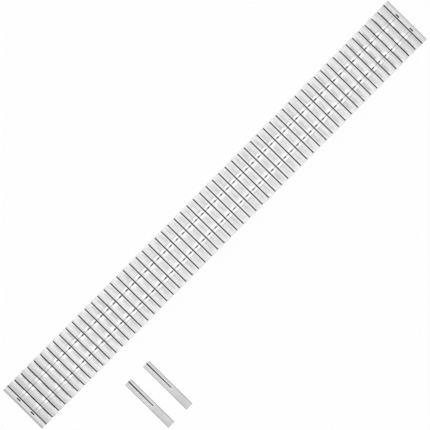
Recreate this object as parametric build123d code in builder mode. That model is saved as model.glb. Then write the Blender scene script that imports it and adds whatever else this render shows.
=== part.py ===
from build123d import *
import os

os.makedirs("parts", exist_ok=True)

# Spring-loaded two-row watch band. X runs along the band, Y across it, Z out of its decorated
# face. The origin is the centre of the lug bore in the left end. All sizes in millimetres.

# Band as a whole
lug_width = 18.0
link_pitch = 2.967
run_link_counts = [8, 8, 9, 9, 9, 8, 8]
root_run = 4

# Box sleeves of the upper and the lower row
link_gap = 0.28
sleeve_wall = 0.15
cavity_height = 0.85
row_gap = 0.05

# Decorated top shells
shell_thickness = 0.30
flap_thickness = 0.25
flap_drop = 0.90
crease_from_middle = 3.10
crease_width = 2.05
crease_depth = 0.08

# Side brackets: a yoke at the band's edge and one flat leg into each row
yoke_thickness = 0.30
edge_clearance = 0.05
leg_thickness = 0.20
leg_length = 3.60
leg_side_clearance = 0.13
leg_seat_clearance = 0.02

# Leaf springs
leaf_thickness = 0.10
leaf_width = 1.90
leaf_length = 13.50
leaf_clearance = 0.02

# End links
end_strip_width = 2.10
end_wall = 0.15
roll_width = 1.00
roll_drop = 0.22
pocket_clearance = 0.025
slot_length = 1.60
slot_width = 0.36
slot_from_groove = 0.70
slot_from_middle = 3.19

# Lug sleeves: the two fitted ones and the two longer spare ones
sleeve_bar_width = 2.80
sleeve_bar_height = 2.00
sleeve_bend = 0.30
bar_bore_radius = 0.80
slit_length = 11.40
slit_mouth = 0.40
slit_tip = 0.24
slit_offset = 0.26
spare_length = 20.0
spare_gap = 9.26
spare_from_end = 30.60
spare_spacing = 8.38

# One overrun serves every cut
cut_overrun = 0.50

# Levels, from the plane between the two rows
row_inner = row_gap / 2
row_outer = row_inner + cavity_height + 2 * sleeve_wall
row_middle = (row_inner + row_outer) / 2
cavity_outer = row_outer - sleeve_wall
band_top = row_outer + shell_thickness
pocket_height = sleeve_bar_height + 2 * pocket_clearance
pocket_width = sleeve_bar_width + 2 * pocket_clearance

# Widths across and along the band
link_width = link_pitch - link_gap
cavity_width = link_width - 2 * sleeve_wall
band_half = lug_width / 2
flap_inner = band_half - flap_thickness
yoke_outer = flap_inner - edge_clearance
yoke_inner = yoke_outer - yoke_thickness
sleeve_half = yoke_inner - edge_clearance
leg_width = cavity_width - 2 * leg_side_clearance - link_pitch / 2
leg_outer = cavity_outer - leg_seat_clearance
leaf_level = leg_outer - leg_thickness - leaf_clearance - leaf_thickness / 2

# Places along the band
end_to_bore = end_wall + pocket_width / 2
first_link_x = end_strip_width + link_pitch / 2 - end_to_bore
link_count = sum(run_link_counts)
upper_x = [first_link_x + link_pitch * i for i in range(link_count)]
lower_x = [x + link_pitch / 2 for x in upper_x[:-1]]
band_length = 2 * end_strip_width + link_pitch * link_count
left_end_x = -end_to_bore
right_end_x = left_end_x + band_length
run_stops = [sum(run_link_counts[: r + 1]) for r in range(len(run_link_counts))]
run_starts = [0] + run_stops[:-1]

# End link profile, measured from the band's end
end_foot_width = end_strip_width + link_pitch - link_width / 2 - link_gap
end_reach = end_strip_width + link_pitch - link_gap / 2
end_cavity_start = end_wall + pocket_width + sleeve_wall
end_cavity_stop = end_reach - sleeve_wall
strip_edge = end_strip_width - link_gap / 2
end_leg_x = end_strip_width + 3 * link_pitch / 4
roll_radius = (roll_width**2 + roll_drop**2) / (2 * roll_drop)


def run_bracket_places(run):
    """Centres of the brackets that are fixed in one run, numbered from 1."""
    start, stop = run_starts[run - 1], run_stops[run - 1]
    places = []
    for x in lower_x[start : stop - 1]:
        places += [x - link_pitch / 4, x + link_pitch / 4]
    if run > root_run:
        places.append(upper_x[start] - link_pitch / 4)
    if run < root_run:
        places.append(upper_x[stop - 1] + link_pitch / 4)
    return places


def hinge_bracket_place(hinge):
    """Centre of the tilting bracket pair, on the side of the hinge link nearer the root run."""
    middle = lower_x[run_stops[hinge - 1] - 1]
    if hinge < root_run:
        return middle + link_pitch / 4
    return middle - link_pitch / 4


def make_top_shells(run):
    """Flat caps with two creases each and a flap turned down at either edge."""
    start, stop = run_starts[run - 1], run_stops[run - 1]
    centres = upper_x[start:stop]
    end_blocks = []
    if run == 1:
        end_blocks.append(left_end_x)
    if run == len(run_link_counts):
        end_blocks.append(right_end_x)
    with BuildPart() as top_shells:
        with BuildSketch(Plane.XZ):
            with Locations(*[(x, band_top) for x in centres]):
                Rectangle(link_width, flap_drop + shell_thickness, align=(Align.CENTER, Align.MAX))
        extrude(amount=band_half, both=True)
        with BuildSketch(Plane.XZ):
            with Locations(*[(x, row_outer) for x in centres]):
                Rectangle(link_pitch, band_top, align=(Align.CENTER, Align.MAX))
        extrude(amount=flap_inner, both=True, mode=Mode.SUBTRACT)
        for end_x in end_blocks:
            with BuildSketch(Plane.XZ):
                with Locations((end_x, row_outer)):
                    Rectangle(2 * end_foot_width + link_gap, band_top, align=(Align.CENTER, Align.MAX))
            extrude(amount=lug_width, both=True, mode=Mode.SUBTRACT)
        with BuildSketch(Plane.YZ.offset(centres[0] - link_pitch)):
            rise = cut_overrun * crease_depth / (crease_width / 2)
            with Locations((-crease_from_middle, band_top), (crease_from_middle, band_top)):
                Polygon(
                    (0, -crease_depth),
                    (crease_width / 2 + cut_overrun, rise),
                    (-crease_width / 2 - cut_overrun, rise),
                    align=None,
                )
        extrude(amount=link_pitch * (len(centres) + 1), mode=Mode.SUBTRACT)
    top_shells.part.label = f"top_shells_{run}"
    export_step(top_shells.part, f"parts/top_shells_{run}.step")


def make_sleeves(name, centres, level):
    """Rectangular tubes, open at both long edges of the band."""
    with BuildPart() as sleeves:
        with BuildSketch(Plane.XZ):
            with Locations(*[(x, level) for x in centres]):
                Rectangle(link_width, cavity_height + 2 * sleeve_wall)
                Rectangle(cavity_width, cavity_height, mode=Mode.SUBTRACT)
        extrude(amount=sleeve_half, both=True)
    sleeves.part.label = name
    export_step(sleeves.part, f"parts/{name}.step")


def make_brackets(name, places):
    """U-shaped brackets, a matching pair at the two edges for each place along the band."""
    with BuildPart() as brackets:
        for leg_edge, yoke_edge in (
            (-yoke_inner, -yoke_outer),
            (yoke_inner - leg_length, yoke_inner),
        ):
            with BuildSketch(Plane.XZ.offset(leg_edge)):
                with Locations(*[(x, leg_outer) for x in places]):
                    Rectangle(leg_width, leg_thickness, align=(Align.CENTER, Align.MAX))
                with Locations(*[(x, -leg_outer) for x in places]):
                    Rectangle(leg_width, leg_thickness, align=(Align.CENTER, Align.MIN))
            extrude(amount=leg_length)
            with BuildSketch(Plane.XZ.offset(yoke_edge)):
                with Locations(*[(x, 0) for x in places]):
                    Rectangle(leg_width, 2 * leg_outer)
            extrude(amount=yoke_thickness)
    brackets.part.label = name
    export_step(brackets.part, f"parts/{name}.step")


def make_leaf_springs(name, upper_places, lower_places, end_places):
    """Flat leaves that hold the bracket legs out against the outer walls of the sleeves."""
    with BuildPart() as leaves:
        with BuildSketch(Plane.XZ):
            places = [(x, leaf_level) for x in upper_places]
            places += [(x, -leaf_level) for x in lower_places]
            with Locations(*places):
                Rectangle(leaf_width, leaf_thickness)
            for x in end_places:
                with Locations((x, leaf_level)):
                    Rectangle(leg_width, leaf_thickness)
        extrude(amount=leaf_length / 2, both=True)
    leaves.part.label = name
    export_step(leaves.part, f"parts/{name}.step")


def make_end_link(name, plane):
    """Rolled end with the lug pocket, and the half cavity that takes the last brackets."""
    with BuildPart() as end_link:
        with BuildSketch(plane):
            with BuildLine():
                Line((0, -row_outer), (end_foot_width, -row_outer))
                Line((end_foot_width, -row_outer), (end_foot_width, row_outer))
                Line((end_foot_width, row_outer), (strip_edge, row_outer))
                Line((strip_edge, row_outer), (strip_edge, band_top))
                Line((strip_edge, band_top), (roll_width, band_top))
                RadiusArc((roll_width, band_top), (0, band_top - roll_drop), -roll_radius)
                Line((0, band_top - roll_drop), (0, -row_outer))
            make_face()
            with Locations((end_wall, 0)):
                Rectangle(
                    pocket_width, pocket_height, align=(Align.MIN, Align.CENTER), mode=Mode.SUBTRACT
                )
        extrude(amount=band_half, both=True)
        with BuildSketch(plane):
            with Locations((end_foot_width - link_gap, row_inner)):
                Rectangle(
                    end_reach - end_foot_width + link_gap,
                    row_outer - row_inner,
                    align=(Align.MIN, Align.MIN),
                )
        extrude(amount=sleeve_half, both=True)
        with BuildSketch(plane):
            with Locations((end_cavity_start, row_middle)):
                Rectangle(
                    end_cavity_stop - end_cavity_start,
                    cavity_height,
                    align=(Align.MIN, Align.CENTER),
                )
        extrude(amount=band_half + cut_overrun, both=True, mode=Mode.SUBTRACT)
        for slot_y in (-slot_from_middle, slot_from_middle):
            with BuildSketch(plane.offset(slot_y)):
                with Locations((end_strip_width - slot_from_groove, 0)):
                    Rectangle(
                        slot_width,
                        band_top + cut_overrun,
                        align=(Align.CENTER, Align.MIN),
                    )
            extrude(amount=slot_length / 2, both=True, mode=Mode.SUBTRACT)
    end_link.part.label = name
    export_step(end_link.part, f"parts/{name}.step")


def make_lug_sleeve(name, length, middle):
    """Bored bar for the spring bar, with the open end of its seam on top."""
    x, y, z = middle
    with BuildPart() as lug_sleeve:
        with BuildSketch(Plane.XZ.offset(-y)) as section:
            with Locations((x, z)):
                Rectangle(sleeve_bar_width, sleeve_bar_height)
            chamfer(section.vertices(), length=sleeve_bend)
            with Locations((x, z)):
                Circle(bar_bore_radius, mode=Mode.SUBTRACT)
        extrude(amount=length / 2, both=True)
        with BuildSketch(Plane.XY.offset(z)):
            with Locations((x + slit_offset, y + length / 2)):
                Polygon(
                    (-slit_mouth / 2, 0),
                    (-slit_tip / 2, -slit_length),
                    (slit_tip / 2, -slit_length),
                    (slit_mouth / 2, 0),
                    align=None,
                )
        extrude(amount=sleeve_bar_height, mode=Mode.SUBTRACT)
    lug_sleeve.part.label = name
    export_step(lug_sleeve.part, f"parts/{name}.step")


for run in range(1, len(run_link_counts) + 1):
    start, stop = run_starts[run - 1], run_stops[run - 1]
    cased = [x for x in upper_x[start:stop] if x not in (upper_x[0], upper_x[-1])]
    ends = []
    if run == 1:
        ends.append(left_end_x + end_leg_x)
    if run == len(run_link_counts):
        ends.append(right_end_x - end_leg_x)
    make_top_shells(run)
    make_sleeves(f"upper_sleeves_{run}", cased, row_middle)
    make_sleeves(f"lower_sleeves_{run}", lower_x[start : stop - 1], -row_middle)
    make_leaf_springs(f"leaf_springs_{run}", cased, lower_x[start : stop - 1], ends)
    make_brackets(f"side_brackets_{run}", run_bracket_places(run))

for hinge in range(1, len(run_link_counts)):
    hinge_x = lower_x[run_stops[hinge - 1] - 1]
    make_sleeves(f"hinge_link_{hinge}", [hinge_x], -row_middle)
    make_brackets(f"hinge_brackets_{hinge}", [hinge_bracket_place(hinge)])
    make_leaf_springs(f"hinge_spring_{hinge}", [], [hinge_x], [])

left_plane = Plane(origin=(left_end_x, 0, 0), x_dir=(1, 0, 0), z_dir=(0, -1, 0))
right_plane = Plane(origin=(right_end_x, 0, 0), x_dir=(-1, 0, 0), z_dir=(0, 1, 0))
make_end_link("end_link_left", left_plane)
make_end_link("end_link_right", right_plane)

right_bore_x = right_end_x - end_to_bore
spare_y = -band_half - spare_gap - spare_length / 2
spare_z = -row_outer + sleeve_bar_height / 2
spare_x = left_end_x + spare_from_end
make_lug_sleeve("lug_sleeve_left", lug_width, (0, 0, 0))
make_lug_sleeve("lug_sleeve_right", lug_width, (right_bore_x, 0, 0))
make_lug_sleeve("spare_sleeve_1", spare_length, (spare_x, spare_y, spare_z))
make_lug_sleeve("spare_sleeve_2", spare_length, (spare_x + spare_spacing, spare_y, spare_z))
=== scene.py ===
import math

import bmesh
import bpy
import numpy as np
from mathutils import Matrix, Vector


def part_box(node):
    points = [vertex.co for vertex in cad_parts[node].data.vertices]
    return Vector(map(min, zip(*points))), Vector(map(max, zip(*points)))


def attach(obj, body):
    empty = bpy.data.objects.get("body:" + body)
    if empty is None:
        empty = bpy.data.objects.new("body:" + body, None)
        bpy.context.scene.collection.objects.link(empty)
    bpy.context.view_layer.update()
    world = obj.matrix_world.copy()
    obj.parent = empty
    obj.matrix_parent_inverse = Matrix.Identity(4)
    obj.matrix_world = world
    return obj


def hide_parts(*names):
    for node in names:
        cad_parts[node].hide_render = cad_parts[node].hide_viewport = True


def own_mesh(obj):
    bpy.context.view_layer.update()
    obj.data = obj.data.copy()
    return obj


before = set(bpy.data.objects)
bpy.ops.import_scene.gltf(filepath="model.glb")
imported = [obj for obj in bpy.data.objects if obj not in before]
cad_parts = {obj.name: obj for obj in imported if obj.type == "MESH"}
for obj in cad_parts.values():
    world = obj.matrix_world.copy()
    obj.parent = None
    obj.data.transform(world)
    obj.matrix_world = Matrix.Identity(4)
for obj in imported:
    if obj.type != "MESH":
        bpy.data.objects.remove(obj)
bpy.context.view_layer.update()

# Sizes in metres, read from the frame where it gives them and named here where it doesn't

MM = 0.001
RUN_COUNTS = (8, 8, 9, 9, 9, 8, 8)
RUNS = range(1, len(RUN_COUNTS) + 1)
HINGES = range(1, len(RUN_COUNTS))
ROOT_RUN = 4

link_low, link_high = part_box("hinge_link_4")
root_low, root_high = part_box("top_shells_4")
end_low, end_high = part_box("end_link_left")
bar_low, bar_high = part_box("lug_sleeve_left")
bracket_low, bracket_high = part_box("hinge_brackets_4")
first_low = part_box("top_shells_1")[0]
last_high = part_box("end_link_right")[1]
spare_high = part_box("spare_sleeve_1")[1]

LINK_WIDTH = link_high.x - link_low.x
HALF_LINK = LINK_WIDTH / 2
PITCH = (root_high.x - root_low.x - LINK_WIDTH) / (RUN_COUNTS[ROOT_RUN - 1] - 1)
GAP = PITCH - LINK_WIDTH
HALF_BAND = root_high.y
BAND_TOP = root_high.z
FLAP_BOTTOM = root_low.z
ROW_INNER = -link_high.z
ROW_OUTER = -link_low.z
SLEEVE_HALF = link_high.y
LEFT_END = end_low.x
RIGHT_END = last_high.x
HALF_LENGTH = (RIGHT_END - LEFT_END) / 2
MIDDLE_X = (LEFT_END + RIGHT_END) / 2
FIRST_LINK = first_low.x + HALF_LINK
STRIP_WIDTH = FIRST_LINK - PITCH / 2 - LEFT_END
WALL = 0.15 * MM
FLAP_THICKNESS = 0.25 * MM
# How far cutters reach past what they cut, along Y for those that go right through and for the others
THROUGH_OVERRUN = 10.0 * MM
OVERRUN = 1.0 * MM
# How near a face counts as lying in a surface
NEAR = 0.01 * MM


def upper_centres(run):
    """Centres of the top links of one run, numbered from 1."""
    start = sum(RUN_COUNTS[: run - 1])
    return [FIRST_LINK + PITCH * (start + i) for i in range(RUN_COUNTS[run - 1])]


def lower_centres(run):
    """Centres of the lower links that are fixed in one run."""
    return [x + PITCH / 2 for x in upper_centres(run)[:-1]]


def hinge_centre(hinge):
    """Centre of the lower link between two runs."""
    return upper_centres(hinge)[-1] + PITCH / 2


def band_end(run, index):
    """Tells the band's first top link, -1, and its last, 1, from all others, 0."""
    if run == 1 and index == 0:
        return -1
    if run == len(RUN_COUNTS) and index == RUN_COUNTS[run - 1] - 1:
        return 1
    return 0


def bared_sides(run, index):
    """Sides of a top link that stretching the band bares: -1 for the low side and 1 for the high."""
    sides = []
    if run > 1 and index == 0:
        sides.append(-1)
    if run < len(RUN_COUNTS) and index == RUN_COUNTS[run - 1] - 1:
        sides.append(1)
    return sides


# Outlines and meshes

# Keeps an inset outline from running far past its sharpest corners
LEAST_CORNER_SHARE = 0.3


def arc(cx, cy, radius, start, stop, steps=5):
    """Points of an arc, with angles in degrees."""
    points = []
    for i in range(steps + 1):
        a = math.radians(start + (stop - start) * i / steps)
        points.append((cx + radius * math.cos(a), cy + radius * math.sin(a)))
    return points


def rounded_outline(width, height, radius, steps=4):
    """Closed outline of a rounded rectangle about its centre, anticlockwise."""
    points = []
    for cx, cy, start in (
        (width / 2 - radius, height / 2 - radius, 0),
        (radius - width / 2, height / 2 - radius, 90),
        (radius - width / 2, radius - height / 2, 180),
        (width / 2 - radius, radius - height / 2, 270),
    ):
        points += arc(cx, cy, radius, start, start + 90, steps)
    return points


def inset(outline, amount):
    """The same closed outline moved inwards, for a softened edge."""
    count = len(outline)
    moved = []
    for i in range(count):
        before, here, after = outline[i - 1], outline[i], outline[(i + 1) % count]
        a = Vector((here[0] - before[0], here[1] - before[1])).normalized()
        b = Vector((after[0] - here[0], after[1] - here[1])).normalized()
        inward = Vector((-a.y - b.y, a.x + b.x))
        inward = inward / max(inward.length_squared / 2, LEAST_CORNER_SHARE)
        moved.append((here[0] + inward.x * amount, here[1] + inward.y * amount))
    return moved


def new_object(name, verts, faces, materials, material_of=None, smooth=True):
    """A mesh object in the row frame, with one or more materials."""
    mesh = bpy.data.meshes.new(name)
    mesh.from_pydata([tuple(v) for v in verts], [], faces)
    mesh.validate()
    for material in materials:
        mesh.materials.append(material)
    if material_of is not None:
        mesh.polygons.foreach_set("material_index", np.array(material_of, np.int32))
    mesh.polygons.foreach_set("use_smooth", np.full(len(mesh.polygons), smooth))
    if smooth:
        work = bmesh.new()
        work.from_mesh(mesh)
        bmesh.ops.recalc_face_normals(work, faces=work.faces)
        work.to_mesh(mesh)
        work.free()
    mesh.update()
    obj = bpy.data.objects.new(name, mesh)
    bpy.context.scene.collection.objects.link(obj)
    return obj


def sweep(sections):
    """Quads between equal closed sections, and a face over each end."""
    count = len(sections[0])
    verts = [v for section in sections for v in section]
    faces = []
    for s in range(len(sections) - 1):
        for i in range(count):
            j = (i + 1) % count
            faces.append((s * count + i, s * count + j, (s + 1) * count + j, (s + 1) * count + i))
    faces.append(tuple(range(count))[::-1])
    faces.append(tuple((len(sections) - 1) * count + i for i in range(count)))
    return verts, faces


class Builder:
    """Collects several pieces into one mesh. A kind is the place of a face's material in a list."""

    def __init__(self):
        self.verts, self.faces, self.kinds = [], [], []

    def add(self, verts, faces, kinds):
        base = len(self.verts)
        self.verts += verts
        self.faces += [tuple(base + i for i in face) for face in faces]
        self.kinds += kinds

    def make(self, name, materials):
        return new_object(name, self.verts, self.faces, materials, self.kinds)


def sharpen(obj, degrees):
    """Marks edges sharper than an angle, so that smooth shading stops there."""
    mesh = obj.data
    mesh.update()
    faces_of = {}
    for poly in mesh.polygons:
        for key in poly.edge_keys:
            faces_of.setdefault(key, []).append(poly.normal.copy())
    limit = math.radians(degrees)
    for edge in mesh.edges:
        normals = faces_of.get(tuple(sorted(edge.vertices)), [])
        edge.use_edge_sharp = len(normals) != 2 or normals[0].angle(normals[1], 0) > limit


# Materials


def plain_grey(level):
    """A colour of one brightness."""
    return (level, level, level, 1.0)


class Nodes:
    """Short forms for the calls that build one node tree."""

    def __init__(self, tree):
        self.tree = tree

    def node(self, kind, **settings):
        node = self.tree.nodes.new(kind)
        for key, value in settings.items():
            setattr(node, key, value)
        return node

    def link(self, output, socket):
        self.tree.links.new(output, socket)

    def maths(self, operation, a, b=0.0):
        """One calculation on two values, each a number or another node's output."""
        node = self.node("ShaderNodeMath", operation=operation)
        for socket, value in zip(node.inputs, (a, b)):
            if isinstance(value, (int, float)):
                socket.default_value = value
            else:
                self.link(value, socket)
        return node.outputs["Value"]

    def white(self, kind):
        """An emission or background node of plain white."""
        node = self.node(kind)
        node.inputs["Color"].default_value = plain_grey(1.0)
        node.inputs["Strength"].default_value = 1.0
        return node

    def mix(self, share, first, second):
        """One shader where the share is 0 and another where it is 1."""
        node = self.node("ShaderNodeMixShader")
        self.link(share, node.inputs["Fac"])
        self.link(first, node.inputs[1])
        self.link(second, node.inputs[2])
        return node.outputs["Shader"]


class MaterialNodes(Nodes):
    """Short forms for the node calls of one material, which starts with its own shader."""

    def __init__(self, name):
        self.material = bpy.data.materials.new(name)
        self.material.use_nodes = True
        super().__init__(self.material.node_tree)
        self.shader = self.tree.nodes["Principled BSDF"]

    def mapped(self, scale):
        """Coordinates fixed to the piece, stretched along each axis."""
        mapping = self.node("ShaderNodeMapping")
        mapping.inputs["Scale"].default_value = scale
        self.link(self.node("ShaderNodeTexCoord").outputs["Object"], mapping.inputs["Vector"])
        return mapping.outputs["Vector"]

    def place(self, axis):
        """Place along one axis of the row frame, fixed to the piece."""
        split = self.node("ShaderNodeSeparateXYZ")
        self.link(self.mapped((1, 1, 1)), split.inputs["Vector"])
        return split.outputs[axis]

    def noise(self, scale, detail, rough=0.55):
        """A noise pattern of a given scale along each axis."""
        node = self.node("ShaderNodeTexNoise")
        node.inputs["Scale"].default_value = 1.0
        node.inputs["Detail"].default_value = detail
        node.inputs["Roughness"].default_value = rough
        self.link(self.mapped(scale), node.inputs["Vector"])
        return node.outputs["Fac"]

    def ramp(self, value, low, high, at_low, at_high):
        """A value between two limits turned into a number between two others."""
        node = self.node("ShaderNodeMapRange")
        node.inputs["From Min"].default_value = low
        node.inputs["From Max"].default_value = high
        node.inputs["To Min"].default_value = at_low
        node.inputs["To Max"].default_value = at_high
        self.link(value, node.inputs["Value"])
        return node.outputs["Result"]

    def tinted(self, value, tint):
        """A tinted grey of a given brightness."""
        node = self.node("ShaderNodeMix", data_type="RGBA", blend_type="MULTIPLY")
        node.inputs["Factor"].default_value = 1.0
        node.inputs["A"].default_value = (*tint, 1)
        self.link(value, node.inputs["B"])
        return node.outputs["Result"]

    def bump(self, height, strength, distance):
        """Fine relief on the shader's own surface."""
        node = self.node("ShaderNodeBump")
        node.inputs["Strength"].default_value = strength
        node.inputs["Distance"].default_value = distance
        self.link(height, node.inputs["Height"])
        self.link(node.outputs["Normal"], self.shader.inputs["Normal"])


# Steel's pattern: fine and broad lines added up, and a cloud over both
BROAD_SCALE_SHARE = 0.22
FINE_SHARE = 0.6
LINE_LIMITS = (0.30, 0.70)
BRIGHT_LINE_SHARE = 0.7
ROUGHNESS_SHARE = 0.10
LINE_HEIGHT = 0.012 * MM
CLOUD_SCALE = (620, 430, 620)
CLOUD_LIMITS = (0.35, 0.65)
CLOUD_SHARES = (0.97, 1.02)
SLOT_SHADE_SHARE = 0.04

# The pattern's scale along each axis
BRUSH_ACROSS = (9000, 420, 5200)
BRUSH_ALONG = (600, 7000, 5200)
TUMBLED = (2600, 2600, 2600)
FINE_GRAIN = (3000, 3000, 3000)

# Painted shade: the band is a little darker towards either end
END_SHADE_LENGTH = 24 * MM
LOW_END_SHADE_SHARE = 0.88
HIGH_END_SHADE_SHARE = 0.90

# The end links' slots, and the shade on the fitted bars under them
SLOT_MIDDLE = 3.19 * MM
SLOT_LENGTH = 1.60 * MM
SLOT_WIDTH = 0.43 * MM
SLOT_ROUND_SHARE = 0.49
SLOT_FROM_STRIP_EDGE = 0.70 * MM
SLOT_AT = STRIP_WIDTH - SLOT_FROM_STRIP_EDGE
SHADE_WIDTH_SHARES = (0.7, 1.5)
SHADE_LENGTH_SHARES = (0.56, 0.75)

# The spares are a little darker past the end of their slit
SLIT_LENGTH = 11.4 * MM
SLIT_END = spare_high.y - SLIT_LENGTH
DARK_TIP_LENGTH = 1.2 * MM
DARK_TIP_SHARE = 0.91


def line_pattern(m, streak):
    """Fine lines with broad ones among them, and the broad ones alone."""
    fine = m.noise(streak, detail=4.0)
    broad = m.noise(tuple(s * BROAD_SCALE_SHARE for s in streak), detail=2.0)
    fine_part = m.maths("MULTIPLY", fine, FINE_SHARE)
    broad_part = m.maths("MULTIPLY", broad, 1 - FINE_SHARE)
    return m.maths("ADD", fine_part, broad_part), broad


def mark_shade(m, shade_spots):
    """A factor of 1 that falls to a small share in spots of painted shade on either side of a middle.

    Each entry names an axis, the middle on it, the spots' distance from it, and the distances from a
    spot at which it starts and stops fading. A spot is dark where it is dark along every entry's axis.
    """
    shade = 0.0
    for axis, middle, distance, fade_start, fade_stop in shade_spots:
        from_middle = m.maths("ABSOLUTE", m.maths("SUBTRACT", m.place(axis), middle))
        from_spot = m.maths("ABSOLUTE", m.maths("SUBTRACT", from_middle, distance))
        shade = m.maths("MAXIMUM", m.ramp(from_spot, fade_start, fade_stop, SLOT_SHADE_SHARE, 1.0), shade)
    return shade


def steel(name, level, rough, streak, line_share, bump, tint=(1.0, 1.0, 1.0), brightness_ramps=(), shade_spots=()):
    """Steel with drawn or brushed lines. Streak is the pattern's scale along each axis.

    Each ramp of brightness names an axis, two places on it, and the brightness before the first and after
    the second; at the band's ends a ramp paints shade. Shade spots are those of mark_shade.
    """
    m = MaterialNodes(name)
    lines, broad = line_pattern(m, streak)
    cloud = m.noise(CLOUD_SCALE, detail=2.0)
    darkest, brightest = level * (1 - line_share), level * (1 + line_share * BRIGHT_LINE_SHARE)
    value = m.ramp(lines, *LINE_LIMITS, darkest, brightest)
    brightness = m.maths("MULTIPLY", value, m.ramp(cloud, *CLOUD_LIMITS, *CLOUD_SHARES))
    for axis, *limits in brightness_ramps:
        brightness = m.maths("MULTIPLY", brightness, m.ramp(m.place(axis), *limits))
    if shade_spots:
        brightness = m.maths("MULTIPLY", brightness, mark_shade(m, shade_spots))
    m.link(m.tinted(brightness, tint), m.shader.inputs["Base Color"])
    smoothest, roughest = rough * (1 - ROUGHNESS_SHARE), rough * (1 + ROUGHNESS_SHARE)
    m.link(m.ramp(broad, *LINE_LIMITS, smoothest, roughest), m.shader.inputs["Roughness"])
    m.shader.inputs["Metallic"].default_value = 1.0
    m.bump(lines, bump, LINE_HEIGHT)
    return m.material


# Painted shade towards either end of the band
painted_end_shade = (
    ("X", LEFT_END, LEFT_END + END_SHADE_LENGTH, LOW_END_SHADE_SHARE, 1.0),
    ("X", RIGHT_END - END_SHADE_LENGTH, RIGHT_END, 1.0, HIGH_END_SHADE_SHARE),
)
# Darker past the end of the spares' slit
darker_tip = (("Y", SLIT_END - DARK_TIP_LENGTH, SLIT_END, DARK_TIP_SHARE, 1.0),)
# Painted shade: dark spots on the fitted bars under the end links' slots
slot_shade_spots = (
    ("X", MIDDLE_X, HALF_LENGTH - SLOT_AT, *(share * SLOT_WIDTH for share in SHADE_WIDTH_SHARES)),
    ("Y", 0.0, SLOT_MIDDLE, *(share * SLOT_LENGTH for share in SHADE_LENGTH_SHARES)),
)
cool_white = (1.0, 1.0, 1.01)
spring_blue = (0.96, 0.98, 1.04)

# Each steel's name, level, roughness, streak, share of the lines and strength of the bump
brushed_top = steel("brushed_top", 0.93, 0.24, BRUSH_ACROSS, 0.125, 0.29, brightness_ramps=painted_end_shade)
polished = steel("polished_crease", 0.90, 0.06, BRUSH_ACROSS, 0.02, 0.02)
end_steel = steel("brushed_end", 0.85, 0.28, BRUSH_ACROSS, 0.10, 0.30)
strip_steel = steel("strip_sleeve", 0.66, 0.30, BRUSH_ACROSS, 0.08, 0.25, tint=cool_white)
bracket_steel = steel("tumbled_bracket", 0.60, 0.32, TUMBLED, 0.10, 0.35)
spring_steel = steel("rolled_spring", 0.45, 0.28, BRUSH_ALONG, 0.10, 0.25, tint=spring_blue)
bar_steel = steel("drawn_bar", 0.80, 0.28, BRUSH_ALONG, 0.12, 0.35)
bar_slot_shaded = steel("slot_shaded_bar", 0.80, 0.32, BRUSH_ALONG, 0.12, 0.35, shade_spots=slot_shade_spots)
spare_steel = steel("spare_bar", 0.80, 0.28, BRUSH_ALONG, 0.12, 0.35, brightness_ramps=darker_tip)
# Painted shade: near-black steel for the sleeves' insides, the walls between links, the grooves, the seam,
# the crease lines and the walls of every cut
painted_shade_steel = steel("painted_shade_wall", 0.03, 0.50, FINE_GRAIN, 0.12, 0.2)
# Partly painted shade: steel for the walls that stretching the band bares, darkened so that the gaps between
# links still look shaded at rest
bared_shaded_steel = steel("bared_shaded_wall", 0.34, 0.36, BRUSH_ACROSS, 0.10, 0.25)

# Top shells

SIDE_CLEAR = 0.026 * MM
SHELL_HALF = HALF_LINK - SIDE_CLEAR
DOME = 0.069 * MM
RIM = 0.16 * MM
RIM_SLOPE = 0.055
EDGE_ROUND = 0.03 * MM
EDGE_ANGLES = (0, 30, 60)
END_ROUND = 0.16 * MM
END_DROP = 0.10 * MM
END_ANGLES = (90, 72, 54, 36, 18, 0)
PLAN_ROUND = 0.10 * MM
FLAP_LIFT = 0.05 * MM
FLAP_FROM_CENTRE = 0.15 * MM
DOME_SHARES = (0.7, 0.47, 0.24)
PANEL_PLACES = (6.9 * MM, 5.3 * MM)
MIDDLE_PANEL_PLACE = 1.1 * MM
CREASE_MIDDLE = 3.10 * MM
CREASE_HALF = 1.02 * MM
CREASE_DEPTH = 0.062 * MM
CREASE_SHARES = (1, 0.98, 0.84, 0.7, 0.56, 0.42, 0.3, 0.2, 0.12)
CREASE_LINE = 0.057 * MM
CREASE_LINE_DEPTH = 0.05 * MM
BORDER_FROM_CREASE = 1.12 * MM
BORDER_HALF = 0.025 * MM
BORDER_DEPTH = 0.03 * MM
SEED = 7
LINK_WOBBLE = 0.0025
LOW_END_LEANS = (0.05, 0.046, 0.040, 0.034, 0.027, 0.018, 0.010)
HIGH_END_LEANS = (0.05, 0.042, 0.032, 0.022, 0.014, 0.008)
SHELL_SHARP = 38
BRUSHED, POLISHED, DARK, BARED = range(4)


def crease_drop(y):
    """How far a crease or the fine line outside it lies below the panels at a place across the band."""
    outward = abs(y) - CREASE_MIDDLE
    from_border = abs(outward - BORDER_FROM_CREASE)
    if from_border < BORDER_HALF:
        return BORDER_DEPTH * (1 - from_border / BORDER_HALF)
    d = abs(outward)
    if d >= CREASE_HALF:
        return 0.0
    drop = CREASE_DEPTH * (1 - (d / CREASE_HALF) ** 2)
    if d < CREASE_LINE:
        drop += CREASE_LINE_DEPTH * (1 - d / CREASE_LINE)
    return drop


def end_drop(y):
    """How far the end of a link is rounded over."""
    d = HALF_BAND - abs(y)
    if d >= END_ROUND:
        return 0.0
    t = 1 - d / END_ROUND
    return END_DROP * (1 - math.sqrt(max(0.0, 1 - t * t)))


def edge_drop(x):
    """How far the top lies below the crown: a dome, a flatter rim and a rounded edge."""
    rim_start = SHELL_HALF - EDGE_ROUND - RIM
    drop = DOME * (min(abs(x), rim_start) / SHELL_HALF) ** 2
    drop += RIM_SLOPE * max(0.0, abs(x) - rim_start)
    beyond = abs(x) - (SHELL_HALF - EDGE_ROUND)
    if beyond > 0:
        drop += EDGE_ROUND - math.sqrt(max(0.0, EDGE_ROUND**2 - beyond**2))
    return drop


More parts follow.
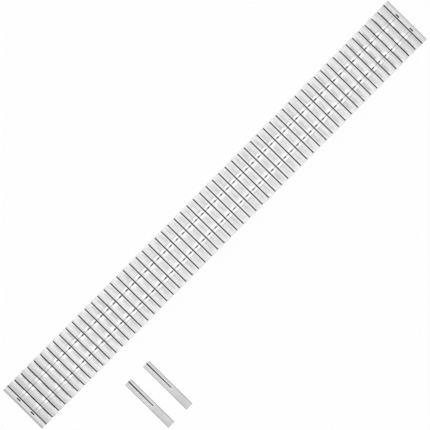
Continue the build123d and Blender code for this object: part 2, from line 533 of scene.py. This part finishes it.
def along_shell():
    """Places along Y at which the top of a shell has a point, from one end of the link to the other."""
    end = [HALF_BAND - END_ROUND * (1 - math.sin(math.radians(a))) for a in END_ANGLES]
    border = CREASE_MIDDLE + BORDER_FROM_CREASE
    panel = [*PANEL_PLACES, border + BORDER_HALF, border, border - BORDER_HALF]
    flank = [share * CREASE_HALF for share in CREASE_SHARES] + [CREASE_LINE]
    crease = [CREASE_MIDDLE + d for d in flank] + [CREASE_MIDDLE]
    crease += [CREASE_MIDDLE - d for d in reversed(flank)]
    half = end + panel + crease + [MIDDLE_PANEL_PLACE]
    return [-y for y in half] + [0.0] + half[::-1]


def across_shell():
    """Places along X at which a shell has a section, from its low side to its high side."""
    flat = SHELL_HALF - EDGE_ROUND
    low = [-flat - EDGE_ROUND * math.cos(math.radians(a)) for a in EDGE_ANGLES]
    low += [-flat * share for share in (1, 1 - RIM / flat, *DOME_SHARES)]
    return low + [0.0] + [-x for x in reversed(low)]


def shell_kind(corners, centre, bared):
    """Which of a shell's materials one of its faces has. The gap walls and the fine crease lines get painted
    shade.
    """
    xs, ys, zs = zip(*corners)
    # Painted shade: the walls that face the gap between links, unless stretching the band bares them
    if len(corners) > 4:
        return BARED if math.copysign(1, xs[0] - centre) in bared else DARK
    if min(zs) <= ROW_OUTER + NEAR:
        return BRUSHED
    outward = abs(sum(ys) / 4) - CREASE_MIDDLE
    # Painted shade: the fine line at the bottom of each crease and the one just outside it
    if abs(outward) < CREASE_LINE or abs(outward - BORDER_FROM_CREASE) < BORDER_HALF:
        return DARK
    into_rim = abs(sum(xs) / 4 - centre) - (SHELL_HALF - EDGE_ROUND - RIM)
    if abs(outward) < CREASE_HALF or 0 < into_rim < RIM:
        return POLISHED
    return BRUSHED


def add_shell(builder, centre, tilt, bared, end):
    """One domed shell with its two creases and turned-down flaps.

    The band's first and last shells, with an end of -1 and 1, have flaps on their inner half alone.
    """
    inner = HALF_BAND - FLAP_THICKNESS
    sections = []
    for x in across_shell():
        t = abs(x) / SHELL_HALF
        draw_in = PLAN_ROUND * t**4
        drop = edge_drop(x) + tilt * x + abs(tilt) * SHELL_HALF
        has_flap = end == 0 or -end * x >= FLAP_FROM_CENTRE
        bottom = FLAP_BOTTOM + FLAP_LIFT * t * t if has_flap else ROW_OUTER
        section = []
        for y in along_shell():
            z = BAND_TOP - drop - crease_drop(y) - end_drop(y)
            if abs(y) > HALF_BAND - END_ROUND:
                y = math.copysign(abs(y) - draw_in, y)
            section.append((centre + x, y, z))
        outer = HALF_BAND - draw_in
        below = ((outer, bottom), (inner, bottom), (inner, ROW_OUTER))
        section += [(centre + x, y, z) for y, z in below]
        section += [(centre + x, -y, z) for y, z in reversed(below)]
        sections.append(section)
    verts, faces = sweep(sections)
    kinds = [shell_kind([verts[v] for v in face], centre, bared) for face in faces]
    builder.add(verts, faces, kinds)


def lean(index):
    """How far a shell leans outwards, which only a few at either end of the band do."""
    from_high = sum(RUN_COUNTS) - 1 - index
    if index < len(LOW_END_LEANS):
        return -LOW_END_LEANS[index]
    if from_high < len(HIGH_END_LEANS):
        return HIGH_END_LEANS[from_high]
    return 0.0


def make_shells():
    """The top shells of every run, each leaning a little by chance."""
    rng = np.random.default_rng(SEED)
    for run in RUNS:
        builder = Builder()
        for i, x in enumerate(upper_centres(run)):
            tilt = lean(sum(RUN_COUNTS[: run - 1]) + i) + float(rng.normal(0, LINK_WOBBLE))
            add_shell(builder, x, tilt, bared_sides(run, i), band_end(run, i))
        obj = builder.make(f"domed_shells_{run}", [brushed_top, polished, painted_shade_steel, bared_shaded_steel])
        sharpen(obj, SHELL_SHARP)
        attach(obj, f"run_{run}")
        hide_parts(f"top_shells_{run}")


make_shells()

# Box sleeves of both rows

SLEEVE_ROUND = 0.20 * MM
# Half width of the middle strip of a bright sleeve roof that keeps painted shade, under the gap between
# shells
SHADED_ROOF_HALF = 0.24 * MM
TONGUE_WIDTH = 0.60 * MM
TONGUE_ROUND_SHARE = 0.3
TONGUE_CLEAR = 0.02 * MM
TONGUE_OVERLAP = 0.05 * MM
TONGUE_REACH = 0.30 * MM
TONGUE_SPANS = (
    (TONGUE_CLEAR + FLAP_THICKNESS - HALF_BAND, TONGUE_OVERLAP - SLEEVE_HALF),
    (SLEEVE_HALF - TONGUE_OVERLAP, SLEEVE_HALF + TONGUE_REACH),
)
TUBE_SHARP = 50
TUBE_STEEL, TUBE_DARK, TUBE_BARED = range(3)


def tube_outline(width, height, radius):
    """A rounded rectangle with a middle strip marked off on its top side, for painted shade under the gap
    between shells.
    """
    points = rounded_outline(width, height, radius)
    first_corner = len(points) // 4
    strip = [(SHADED_ROOF_HALF, height / 2), (-SHADED_ROOF_HALF, height / 2)]
    return points[:first_corner] + strip + points[first_corner:]


def wall_kind(x, z, bright_roof, bared):
    """Which material the outside of a sleeve has at a place along the band and a height, painted shade where
    it is neither bright nor bared.
    """
    on_underside = z < -(ROW_INNER + ROW_OUTER) / 2
    on_open_roof = bright_roof and abs(x) > SHADED_ROOF_HALF
    if on_underside or on_open_roof:
        return TUBE_STEEL
    return TUBE_BARED if math.copysign(1, x) in bared else TUBE_DARK


def add_tube(builder, centre, low, high, bright_roof, bared):
    """A rounded rectangular tube along Y, open at both ends.

    It is bright on its underside, and on the roof and the sides too where stretching the band bares them,
    though a middle strip of the roof keeps painted shade. The rest, inside and out, gets painted shade.
    """
    height = high - low
    middle = (low + high) / 2
    outer = tube_outline(LINK_WIDTH, height, SLEEVE_ROUND)
    inner = tube_outline(LINK_WIDTH - 2 * WALL, height - 2 * WALL, SLEEVE_ROUND - WALL / 2)
    loops = ((-SLEEVE_HALF, inner), (-SLEEVE_HALF, outer), (SLEEVE_HALF, outer), (SLEEVE_HALF, inner))
    verts = [(centre + x, y, middle + z) for y, outline in loops for x, z in outline]
    count = len(outer)
    faces = []
    kinds = []
    for s in range(len(loops)):
        on_outside = s == 1
        on_rim = s in (0, 2)
        after = (s + 1) % len(loops)
        for i in range(count):
            j = (i + 1) % count
            faces.append((s * count + i, s * count + j, after * count + j, after * count + i))
            if on_rim:
                kinds.append(TUBE_STEEL)
            elif on_outside:
                x, z = (outer[i][0] + outer[j][0]) / 2, (outer[i][1] + outer[j][1]) / 2
                kinds.append(wall_kind(x, middle + z, bright_roof, bared))
            else:
                kinds.append(TUBE_DARK)
    builder.add(verts, faces, kinds)


def add_tongues(builder, centre):
    """Short tongues of a lower sleeve's roof, between the two brackets at either edge, in painted shade."""
    middle = -ROW_INNER - WALL / 2
    outline = rounded_outline(TONGUE_WIDTH, WALL, WALL * TONGUE_ROUND_SHARE, steps=2)
    for span in TONGUE_SPANS:
        verts, faces = sweep([[(centre + x, y, middle + z) for x, z in outline] for y in span])
        builder.add(verts, faces, [TUBE_DARK] * len(faces))


def make_tubes(name, body, node, sleeves, low, high, bright_roof=False):
    """Box sleeves of one node. Each is a centre with the sides that stretching the band bares."""
    builder = Builder()
    for x, bared in sleeves:
        add_tube(builder, x, low, high, bright_roof, bared)
        if low < -ROW_INNER:
            add_tongues(builder, x)
    obj = builder.make(name, [strip_steel, painted_shade_steel, bared_shaded_steel])
    sharpen(obj, TUBE_SHARP)
    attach(obj, body)
    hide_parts(node)


for run in RUNS:
    body = f"run_{run}"
    links = enumerate(upper_centres(run))
    uppers = [(x, bared_sides(run, i)) for i, x in links if band_end(run, i) == 0]
    lowers = [(x, ()) for x in lower_centres(run)]
    make_tubes(f"upper_tubes_{run}", body, f"upper_sleeves_{run}", uppers, ROW_INNER, ROW_OUTER)
    make_tubes(f"lower_tubes_{run}", body, f"lower_sleeves_{run}", lowers, -ROW_OUTER, -ROW_INNER)
for hinge in HINGES:
    link = f"hinge_link_{hinge}"
    sleeve = [(hinge_centre(hinge), ())]
    make_tubes(f"hinge_tube_{hinge}", link, link, sleeve, -ROW_OUTER, -ROW_INNER, bright_roof=True)

# Side brackets

LEG_TIP = 4.80 * MM
LEG_THICKNESS = 0.20 * MM
LEG_OUTER = bracket_high.z
LEG_WIDTH = bracket_high.x - bracket_low.x
YOKE_INNER = 8.40 * MM
YOKE_OUTER = bracket_high.y
OUTER_BEND = 0.24 * MM
INNER_BEND = 0.07 * MM
BRACKET_EDGE = 0.03 * MM
STRIP_SHARP = 40


def bracket_outline():
    """The U of a side bracket, seen along the band."""
    outer, inner = OUTER_BEND, INNER_BEND
    leg_inner = LEG_OUTER - LEG_THICKNESS
    points = [(LEG_TIP, -LEG_OUTER)]
    points += arc(YOKE_OUTER - outer, outer - LEG_OUTER, outer, -90, 0)
    points += arc(YOKE_OUTER - outer, LEG_OUTER - outer, outer, 0, 90)
    points += [(LEG_TIP, LEG_OUTER), (LEG_TIP, leg_inner)]
    points += arc(YOKE_INNER - inner, leg_inner - inner, inner, 90, 0, steps=3)
    points += arc(YOKE_INNER - inner, inner - leg_inner, inner, 0, -90, steps=3)
    points.append((LEG_TIP, -leg_inner))
    return points


def add_bracket(builder, centre, side):
    """One bent bracket with softened edges, at the band's left edge, -1, or its right, 1."""
    outline = bracket_outline()
    small = inset(outline, BRACKET_EDGE)
    half = LEG_WIDTH / 2
    sections = []
    for x, shape in (
        (-half, small),
        (BRACKET_EDGE - half, outline),
        (half - BRACKET_EDGE, outline),
        (half, small),
    ):
        sections.append([(centre + x, side * y, z) for y, z in shape])
    verts, faces = sweep(sections)
    if side > 0:
        faces = [face[::-1] for face in faces]
    builder.add(verts, faces, [0] * len(faces))


def bracket_places(run):
    """Centres of the brackets fixed in one run."""
    places = []
    for x in lower_centres(run):
        places += [x - PITCH / 4, x + PITCH / 4]
    if run > ROOT_RUN:
        places.append(upper_centres(run)[0] - PITCH / 4)
    if run < ROOT_RUN:
        places.append(upper_centres(run)[-1] + PITCH / 4)
    return places


def make_brackets(name, body, node, places):
    """The brackets of one node, one at each edge of the band at each place along it."""
    builder = Builder()
    for x in places:
        for side in (-1, 1):
            add_bracket(builder, x, side)
    obj = builder.make(name, [bracket_steel])
    sharpen(obj, STRIP_SHARP)
    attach(obj, body)
    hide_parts(node)


for run in RUNS:
    make_brackets(f"bent_brackets_{run}", f"run_{run}", f"side_brackets_{run}", bracket_places(run))
for hinge in HINGES:
    pair = f"hinge_brackets_{hinge}"
    towards_root = PITCH / 4 if hinge < ROOT_RUN else -PITCH / 4
    make_brackets(f"hinge_pair_{hinge}", pair, pair, [hinge_centre(hinge) + towards_root])

# Leaf springs, bowed so that their ends press the legs and their middle the opposite wall

LEAF_WIDTH = 1.90 * MM
LEAF_THICKNESS = 0.10 * MM
LEAF_HALF = 6.75 * MM
LEAF_LEVEL = 0.735 * MM
LEAF_BOW = 0.50 * MM
LEAF_STEPS = 18
LEAF_TIP_SHARE = 0.06
LEAF_TIP_INSET = 0.22 * MM
END_LEAF_PITCHES = 0.75
HINGE_LEAF_REACH = 0.95 * MM
HINGE_LEAF_BACK = 0.30 * MM


def add_leaf(builder, low_x, high_x, side):
    """One leaf. Side is 1 in the upper row and -1 in the lower row."""
    sections = []
    for i in range(LEAF_STEPS + 1):
        t = -1 + 2 * i / LEAF_STEPS
        y = LEAF_HALF * t
        z = LEAF_LEVEL - LEAF_BOW * (1 - t * t)
        tip = max(0.0, abs(t) - (1 - LEAF_TIP_SHARE)) / LEAF_TIP_SHARE
        draw_in = LEAF_TIP_INSET * tip**2
        a, b = low_x + draw_in, high_x - draw_in
        top, base = side * (z + LEAF_THICKNESS / 2), side * (z - LEAF_THICKNESS / 2)
        sections.append([(a, y, base), (b, y, base), (b, y, top), (a, y, top)])
    verts, faces = sweep(sections)
    if side < 0:
        faces = [face[::-1] for face in faces]
    builder.add(verts, faces, [0] * len(faces))


def make_leaves(name, body, node, leaves):
    """The leaves of one node, or without a node an extra piece of its body."""
    builder = Builder()
    for low_x, high_x, side in leaves:
        add_leaf(builder, low_x, high_x, side)
    obj = builder.make(name, [spring_steel])
    sharpen(obj, STRIP_SHARP)
    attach(obj, body)
    if node:
        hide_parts(node)
    return obj


def leaf_span(x, width, side):
    """A leaf of a given width about a centre."""
    return (x - width / 2, x + width / 2, side)


def make_run_leaves(run):
    """The leaves of one run. Beside a hinge, the upper leaf of the inner run is pressed by a tilting leg."""
    leaves = [leaf_span(x, LEAF_WIDTH, -1) for x in lower_centres(run)]
    pressed = {}
    last = RUN_COUNTS[run - 1] - 1
    from_end = STRIP_WIDTH + END_LEAF_PITCHES * PITCH
    for i, x in enumerate(upper_centres(run)):
        end = band_end(run, i)
        if end:
            leaves.append(leaf_span(MIDDLE_X + end * (HALF_LENGTH - from_end), LEG_WIDTH, 1))
        elif i == 0 and run <= ROOT_RUN:
            pressed[run - 1] = x
        elif i == last and run >= ROOT_RUN:
            pressed[run] = x
        else:
            leaves.append(leaf_span(x, LEAF_WIDTH, 1))
    make_leaves(f"bowed_leaves_{run}", f"run_{run}", f"leaf_springs_{run}", leaves)
    for hinge, x in pressed.items():
        leaf = make_leaves(f"pressed_leaf_{hinge}", f"run_{run}", None, [leaf_span(x, LEAF_WIDTH, 1)])
        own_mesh(leaf)


def make_hinge_leaf(hinge):
    """The leaf in the lower sleeve of a hinge, on the side of the tilting brackets that press it."""
    x = hinge_centre(hinge)
    if hinge < ROOT_RUN:
        span = (x - HINGE_LEAF_BACK, x + HINGE_LEAF_REACH, -1)
    else:
        span = (x - HINGE_LEAF_REACH, x + HINGE_LEAF_BACK, -1)
    leaf = make_leaves(f"hinge_leaf_{hinge}", f"hinge_link_{hinge}", f"hinge_spring_{hinge}", [span])
    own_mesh(leaf)


for run in RUNS:
    make_run_leaves(run)
for hinge in HINGES:
    make_hinge_leaf(hinge)

# End links and lug sleeves

CUT_SHARP = 35


def cut(obj, cutters):
    """Takes closed meshes away from an object and keeps its materials. The cut faces take the cutter's
    material, the painted shade.
    """
    for cutter in cutters:
        modifier = obj.modifiers.new("cut", "BOOLEAN")
        modifier.operation = "DIFFERENCE"
        modifier.solver = "EXACT"
        modifier.material_mode = "TRANSFER"
        modifier.object = cutter
    graph = bpy.context.evaluated_depsgraph_get()
    mesh = bpy.data.meshes.new_from_object(obj.evaluated_get(graph))
    obj.modifiers.clear()
    obj.data = mesh
    for cutter in cutters:
        bpy.data.objects.remove(cutter)


def prism(name, outline, low, high, material, edge=0.0, along_y=True):
    """A closed prism of an outline in XZ drawn along Y, or in XY drawn along Z."""
    steps = [(low, outline), (high, outline)]
    if edge:
        small = inset(outline, edge)
        steps = [(low, small), (low + edge, outline), (high - edge, outline), (high, small)]
    sections = []
    for level, shape in steps:
        if along_y:
            sections.append([(a, level, b) for a, b in shape])
        else:
            sections.append([(a, b, level) for a, b in shape])
    verts, faces = sweep(sections)
    if not along_y:
        faces = [face[::-1] for face in faces]
    return new_object(name, verts, faces, [material])


END_SOFT = 0.12 * MM
END_EDGE = 0.025 * MM
REACH = end_high.x - end_low.x
FOOT = STRIP_WIDTH + PITCH / 2 - GAP / 2
STRIP_EDGE = STRIP_WIDTH - GAP / 2 - SIDE_CLEAR
STRIP_ROUND = 0.05 * MM
GROOVE_WIDTH = GAP + 2 * SIDE_CLEAR
GROOVE_DEPTH = 0.11 * MM
ROLL_WIDTH = 1.00 * MM
ROLL_DROP = 0.22 * MM
ROLL_EDGE = 0.07 * MM
POCKET_END = 3.0 * MM
POCKET_ROUND = 0.15 * MM
HALF_SLEEVE_ROUND = 0.14 * MM
CAVITY_ROUND = 0.08 * MM


def strip_outline():
    """Profile of the rolled end, from the band's end inwards."""
    soft = END_SOFT
    points = arc(soft, soft - ROW_OUTER, soft, 180, 270, steps=4)
    points += arc(FOOT - soft, soft - ROW_OUTER, soft, 270, 360, steps=4)
    far = STRIP_EDGE + GROOVE_WIDTH
    floor = ROW_OUTER - GROOVE_DEPTH
    points += [(FOOT, ROW_OUTER), (far, ROW_OUTER), (far, floor), (STRIP_EDGE, floor)]
    points += arc(STRIP_EDGE - STRIP_ROUND, BAND_TOP - STRIP_ROUND, STRIP_ROUND, 0, 90, steps=3)
    radius = (ROLL_WIDTH**2 + ROLL_DROP**2) / (2 * ROLL_DROP)
    turn = math.degrees(math.asin((ROLL_WIDTH - ROLL_EDGE) / radius))
    points += arc(ROLL_WIDTH, BAND_TOP - radius, radius, 90, 90 + turn, steps=10)
    corner = points[-1][1] - ROLL_EDGE
    points += arc(ROLL_EDGE, corner, ROLL_EDGE, 90 + turn, 180, steps=4)[1:]
    return points


def box_outline(t0, t1, z0, z1, radius):
    """A rounded rectangle between two places from the band's end and two heights."""
    shape = rounded_outline(t1 - t0, z1 - z0, radius, steps=3)
    return [((t0 + t1) / 2 + t, (z0 + z1) / 2 + z) for t, z in shape]


def from_band_end(start, way, outline):
    """An outline measured inwards from an end of the band, in the row frame. Way is 1 or -1 along X."""
    moved = [(start + way * t, z) for t, z in outline]
    return moved if way > 0 else moved[::-1]


def through_cutter(name, outline):
    """A cutter of an outline in XZ that goes right through the band from edge to edge."""
    reach = HALF_BAND + THROUGH_OVERRUN
    return prism(name, outline, -reach, reach, painted_shade_steel)


def make_strip(side, start, way):
    """The rolled end itself, with its groove in painted shade, its pocket and its two slots."""
    outline = from_band_end(start, way, strip_outline())
    strip = prism(f"rolled_end_{side}", outline, -HALF_BAND, HALF_BAND, end_steel, END_EDGE)
    strip.data.materials.append(painted_shade_steel)
    # Painted shade: the groove's faces take the near-black steel
    for face in strip.data.polygons:
        into_groove = (face.center.x - start) * way - STRIP_EDGE + NEAR
        if 0 < into_groove < GROOVE_WIDTH and face.center.z > ROW_OUTER / 2:
            face.material_index = 1
    pocket = box_outline(WALL, POCKET_END, WALL - ROW_OUTER, ROW_OUTER - WALL, POCKET_ROUND)
    cutters = [through_cutter("pocket", from_band_end(start, way, pocket))]
    x = start + way * SLOT_AT
    for y in (-SLOT_MIDDLE, SLOT_MIDDLE):
        shape = rounded_outline(SLOT_WIDTH, SLOT_LENGTH, SLOT_WIDTH * SLOT_ROUND_SHARE, steps=5)
        shape = [(x + a, y + b) for a, b in shape]
        cutters.append(prism("slot", shape, 0.0, BAND_TOP + OVERRUN, painted_shade_steel, along_y=False))
    cut(strip, cutters)
    sharpen(strip, CUT_SHARP)
    return strip


def make_half_sleeve(side, start, way):
    """The half sleeve behind the rolled end, under the band's first shell or its last."""
    outline = box_outline(FOOT - GAP, REACH, ROW_INNER, ROW_OUTER, HALF_SLEEVE_ROUND)
    outline = from_band_end(start, way, outline)
    half_sleeve = prism(f"end_half_sleeve_{side}", outline, -SLEEVE_HALF, SLEEVE_HALF, strip_steel)
    bottom, top = ROW_INNER + WALL, ROW_OUTER - WALL
    cavity = box_outline(POCKET_END + WALL, REACH - WALL, bottom, top, CAVITY_ROUND)
    cut(half_sleeve, [through_cutter("cavity", from_band_end(start, way, cavity))])
    sharpen(half_sleeve, TUBE_SHARP)
    return half_sleeve


def make_end_link(side, start, way, run):
    """The two pieces of an end link, which ride on the run beside it."""
    strip = make_strip(side, start, way)
    half_sleeve = make_half_sleeve(side, start, way)
    for piece in (strip, half_sleeve):
        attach(piece, f"run_{run}")
    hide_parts(f"end_link_{side}")


BAR_WIDTH = bar_high.x - bar_low.x
BAR_HEIGHT = bar_high.z - bar_low.z
BAR_ROUND = 0.28 * MM
BAR_EDGE = 0.02 * MM
BAR_LIP = 0.05 * MM
BAR_LIP_ANGLE = 84
BAR_LIP_DROP = 0.004 * MM
BAR_SEAM = 0.05 * MM
SEAM_HALF = 0.045 * MM
SEAM_DEPTH = 0.09 * MM
BORE_RADIUS = 0.80 * MM
BORE_POINTS = 48
SLIT_MOUTH = 0.43 * MM
SLIT_TIP = 0.27 * MM
SLIT_AT = 0.26 * MM
FACING_UP = 0.9


def bar_outline():
    """Folded bar with a fine seam beside one bend."""
    half_w, half_h = BAR_WIDTH / 2, BAR_HEIGHT / 2
    seam = half_w - BAR_SEAM - SEAM_HALF
    points = arc(BAR_ROUND - half_w, BAR_ROUND - half_h, BAR_ROUND, 180, 270)
    points += arc(half_w - BAR_ROUND, BAR_ROUND - half_h, BAR_ROUND, 270, 360)
    points += arc(half_w - BAR_LIP, half_h - BAR_LIP, BAR_LIP, 0, BAR_LIP_ANGLE)
    points += [(seam + SEAM_HALF, half_h - BAR_LIP_DROP), (seam, half_h - SEAM_DEPTH)]
    points.append((seam - SEAM_HALF, half_h))
    points += arc(BAR_ROUND - half_w, half_h - BAR_ROUND, BAR_ROUND, 90, 180)[:-1]
    points.append((-half_w, half_h - BAR_ROUND))
    return points


def slit_outline(x, y):
    """The tapered slit about a place across the bar, inwards from its open end at a place along it."""
    half = [(SLIT_MOUTH / 2, y + OVERRUN), (SLIT_MOUTH / 2, y), (SLIT_TIP / 2, y - SLIT_LENGTH)]
    return [(x - a, b) for a, b in half] + [(x + a, b) for a, b in reversed(half)]


def make_bar(name, body, node, fitted):
    """A folded bar with its round bore and tapered slit. Only the fitted bars lie under the end slots, where
    their tops get spots of painted shade.
    """
    low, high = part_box(node)
    middle = (low + high) / 2
    outline = [(middle.x + a, middle.z + b) for a, b in bar_outline()]
    bar = prism(name, outline, low.y, high.y, bar_steel if fitted else spare_steel, BAR_EDGE)
    bar.data.materials.append(painted_shade_steel)
    bar.data.materials.append(bar_slot_shaded)
    seam_x = high.x - BAR_SEAM - SEAM_HALF
    # Painted shade: the faces down in the seam take the near-black steel
    for face in bar.data.polygons:
        in_seam = abs(face.center.x - seam_x) < SEAM_HALF
        if in_seam and middle.z < face.center.z < high.z - NEAR and len(face.vertices) == 4:
            face.material_index = 1
        # Painted shade: the fitted bars' upward faces take the steel with dark spots under the end slots
        elif fitted and face.normal.z > FACING_UP:
            face.material_index = 2
    bore = arc(middle.x, middle.z, BORE_RADIUS, 0, 360, steps=BORE_POINTS)[:-1]
    slit = slit_outline(middle.x + SLIT_AT, high.y)
    cutters = [
        prism("bore", bore, low.y - THROUGH_OVERRUN, high.y + THROUGH_OVERRUN, painted_shade_steel),
        prism("slit", slit, middle.z, high.z + OVERRUN, painted_shade_steel, along_y=False),
    ]
    cut(bar, cutters)
    sharpen(bar, CUT_SHARP)
    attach(bar, body)
    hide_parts(node)


make_end_link("left", LEFT_END, 1, 1)
make_end_link("right", RIGHT_END, -1, len(RUN_COUNTS))
for side in ("left", "right"):
    make_bar(f"folded_bar_{side}", f"lug_{side}", f"lug_sleeve_{side}", fitted=True)
for number in (1, 2):
    make_bar(f"folded_spare_{number}", f"spare_{number}", f"spare_sleeve_{number}", fitted=False)

# Floor, world, lamps and camera

BAND_PIXELS = 55
PIXEL = 2 * HALF_BAND / BAND_PIXELS
PHOTO_PIXELS = 430
BAND_ANGLE = 45.36
SHIFT_X_PX = -0.04
SHIFT_Y_PX = -0.39
CAMERA_HEIGHT = 1.3
CAMERA_CLIP = (0.01, 20.0)

FLOOR_DROP = 0.02 * MM
FLOOR_HALF = 3.0
FLOOR_LEVEL = 0.95
FLOOR_ROUGHNESS = 0.9
FLOOR_WHITE_SHARE = 0.97

TENT_LEVEL = 0.835
ENDS_DARK = 0.34
LOW_END_DARK = 0.10
SIDE_LIGHT = 0.20

CARD_HEIGHT = 1.0
CARD_LENGTH = 0.150
CARD_WIDTH = 0.104
CARD_ROUND = 0.012
CARD_SHIFT = 0.018
CARD_LEVEL = 0.015
CARD_ROUGHNESS = 0.8

# Height and width of each overhead lamp. The heights differ, because lamps in one plane don't add up.
OVERHEAD_LAMPS = ((1.05, 0.38), (1.08, 0.50))
OVERHEAD_LENGTH = 1.2
OVERHEAD_RADIANCE = 0.1375
OVERHEAD_SHIFT = 0.008
KEY_FROM_MIDDLE = (-0.1, 1.1, 0.75)
KEY_SIZE = (0.8, 0.5)
KEY_RADIANCE = 0.45


def make_floor():
    """A pale floor that keeps the shadow. A curled band reaches below it, so it is clear from below.

    From above it is nearly clear to the camera, so that the world's white shows through, and nearly
    plain white in reflections.
    """
    m = MaterialNodes("pale_floor")
    m.shader.inputs["Base Color"].default_value = plain_grey(FLOOR_LEVEL)
    m.shader.inputs["Roughness"].default_value = FLOOR_ROUGHNESS
    glow = m.white("ShaderNodeEmission").outputs["Emission"]
    clear = m.node("ShaderNodeBsdfTransparent").outputs["BSDF"]
    path = m.node("ShaderNodeLightPath")
    white = m.mix(path.outputs["Is Camera Ray"], glow, clear)
    seen = m.maths("MAXIMUM", path.outputs["Is Camera Ray"], path.outputs["Is Glossy Ray"])
    seen = m.maths("MAXIMUM", seen, path.outputs["Is Transmission Ray"])
    share = m.maths("MULTIPLY", seen, FLOOR_WHITE_SHARE)
    from_above = m.mix(share, m.shader.outputs["BSDF"], white)
    below = m.node("ShaderNodeNewGeometry").outputs["Backfacing"]
    either_side = m.mix(below, from_above, clear)
    m.link(either_side, m.tree.nodes["Material Output"].inputs["Surface"])
    half = FLOOR_HALF
    z = -ROW_OUTER - FLOOR_DROP
    verts = [(-half, -half, z), (half, -half, z), (half, half, z), (-half, half, z)]
    floor = new_object("floor", verts, [(0, 1, 2, 3)], [m.material], smooth=False)


def make_world():
    """White tent, darker towards both ends of the band and brighter low on one long side."""
    world = bpy.data.worlds.new("studio")
    bpy.context.scene.world = world
    world.use_nodes = True
    m = Nodes(world.node_tree)
    split = m.node("ShaderNodeSeparateXYZ")
    m.link(m.node("ShaderNodeTexCoord").outputs["Generated"], split.inputs["Vector"])
    x, y, z = (split.outputs[axis] for axis in "XYZ")
    lowness = m.maths("SUBTRACT", 1.0, m.maths("MAXIMUM", z))
    either_end = m.maths("MULTIPLY", m.maths("ABSOLUTE", x), ENDS_DARK)
    along = m.maths("SUBTRACT", either_end, m.maths("MULTIPLY", x, LOW_END_DARK))
    across = m.maths("MULTIPLY", m.maths("MULTIPLY", y, lowness), SIDE_LIGHT)
    level = m.maths("ADD", m.maths("SUBTRACT", TENT_LEVEL, along), across)
    tent = m.tree.nodes["Background"]
    tent.inputs["Color"].default_value = plain_grey(1.0)
    m.link(level, tent.inputs["Strength"])
    seen = m.node("ShaderNodeLightPath").outputs["Is Camera Ray"]
    white = m.white("ShaderNodeBackground")
    shown = m.mix(seen, tent.outputs["Background"], white.outputs["Background"])
    m.link(shown, m.tree.nodes["World Output"].inputs["Surface"])


def make_dark_card(middle):
    """The dark front of a camera above the band, which the polished creases mirror as short dashes."""
    m = MaterialNodes("dark_card")
    m.shader.inputs["Base Color"].default_value = plain_grey(CARD_LEVEL)
    m.shader.inputs["Roughness"].default_value = CARD_ROUGHNESS
    outline = rounded_outline(CARD_LENGTH, CARD_WIDTH, CARD_ROUND)
    verts = [(middle.x + CARD_SHIFT + x, middle.y + y, CARD_HEIGHT) for x, y in outline]
    card = new_object("dark_card", verts, [tuple(range(len(verts)))], [m.material], smooth=False)
    card.visible_camera = False
    card.visible_shadow = False
    card.visible_diffuse = False


def add_area(name, place, target, size, radiance):
    """A rectangular light of a given brightness, so that its size can change alone."""
    light = bpy.data.lights.new(name, "AREA")
    light.shape = "RECTANGLE"
    light.size, light.size_y = size
    light.energy = radiance * math.pi * size[0] * size[1]
    obj = bpy.data.objects.new(name, light)
    obj.location = place
    obj.rotation_euler = (target - place).to_track_quat("-Z", "Y").to_euler()
    obj.visible_camera = False
    bpy.context.scene.collection.objects.link(obj)


def light_band(middle):
    """Lamps overhead, which aim straight down so that their length lies across the band, and a key."""
    below = middle + Vector((OVERHEAD_SHIFT, 0, 0))
    for height, width in OVERHEAD_LAMPS:
        above = below + Vector((0, 0, height))
        add_area("overhead", above, below, (width, OVERHEAD_LENGTH), OVERHEAD_RADIANCE)
    add_area("key", middle + Vector(KEY_FROM_MIDDLE), middle, KEY_SIZE, KEY_RADIANCE)


def make_camera(middle):
    """A camera straight above the band, turned so that the band lies as it does in the photograph."""
    turn = -math.radians(BAND_ANGLE)
    right = Vector((math.cos(turn), math.sin(turn), 0))
    up = Vector((-math.sin(turn), math.cos(turn), 0))
    half_frame = PHOTO_PIXELS * PIXEL / 2
    data = bpy.data.cameras.new("camera")
    data.sensor_fit = "HORIZONTAL"
    data.angle = 2 * math.atan(half_frame / (CAMERA_HEIGHT - BAND_TOP))
    data.clip_start, data.clip_end = CAMERA_CLIP
    camera = bpy.data.objects.new("camera", data)
    spot = middle - right * SHIFT_X_PX * PIXEL + up * SHIFT_Y_PX * PIXEL
    camera.location = (spot.x, spot.y, CAMERA_HEIGHT)
    camera.rotation_euler = (0, 0, turn)
    bpy.context.scene.collection.objects.link(camera)
    bpy.context.scene.camera = camera


band_middle = Vector((MIDDLE_X, 0, 0))
make_floor()
make_world()
make_dark_card(band_middle)
light_band(band_middle)
make_camera(band_middle)
bpy.context.scene.view_settings.view_transform = "Standard"
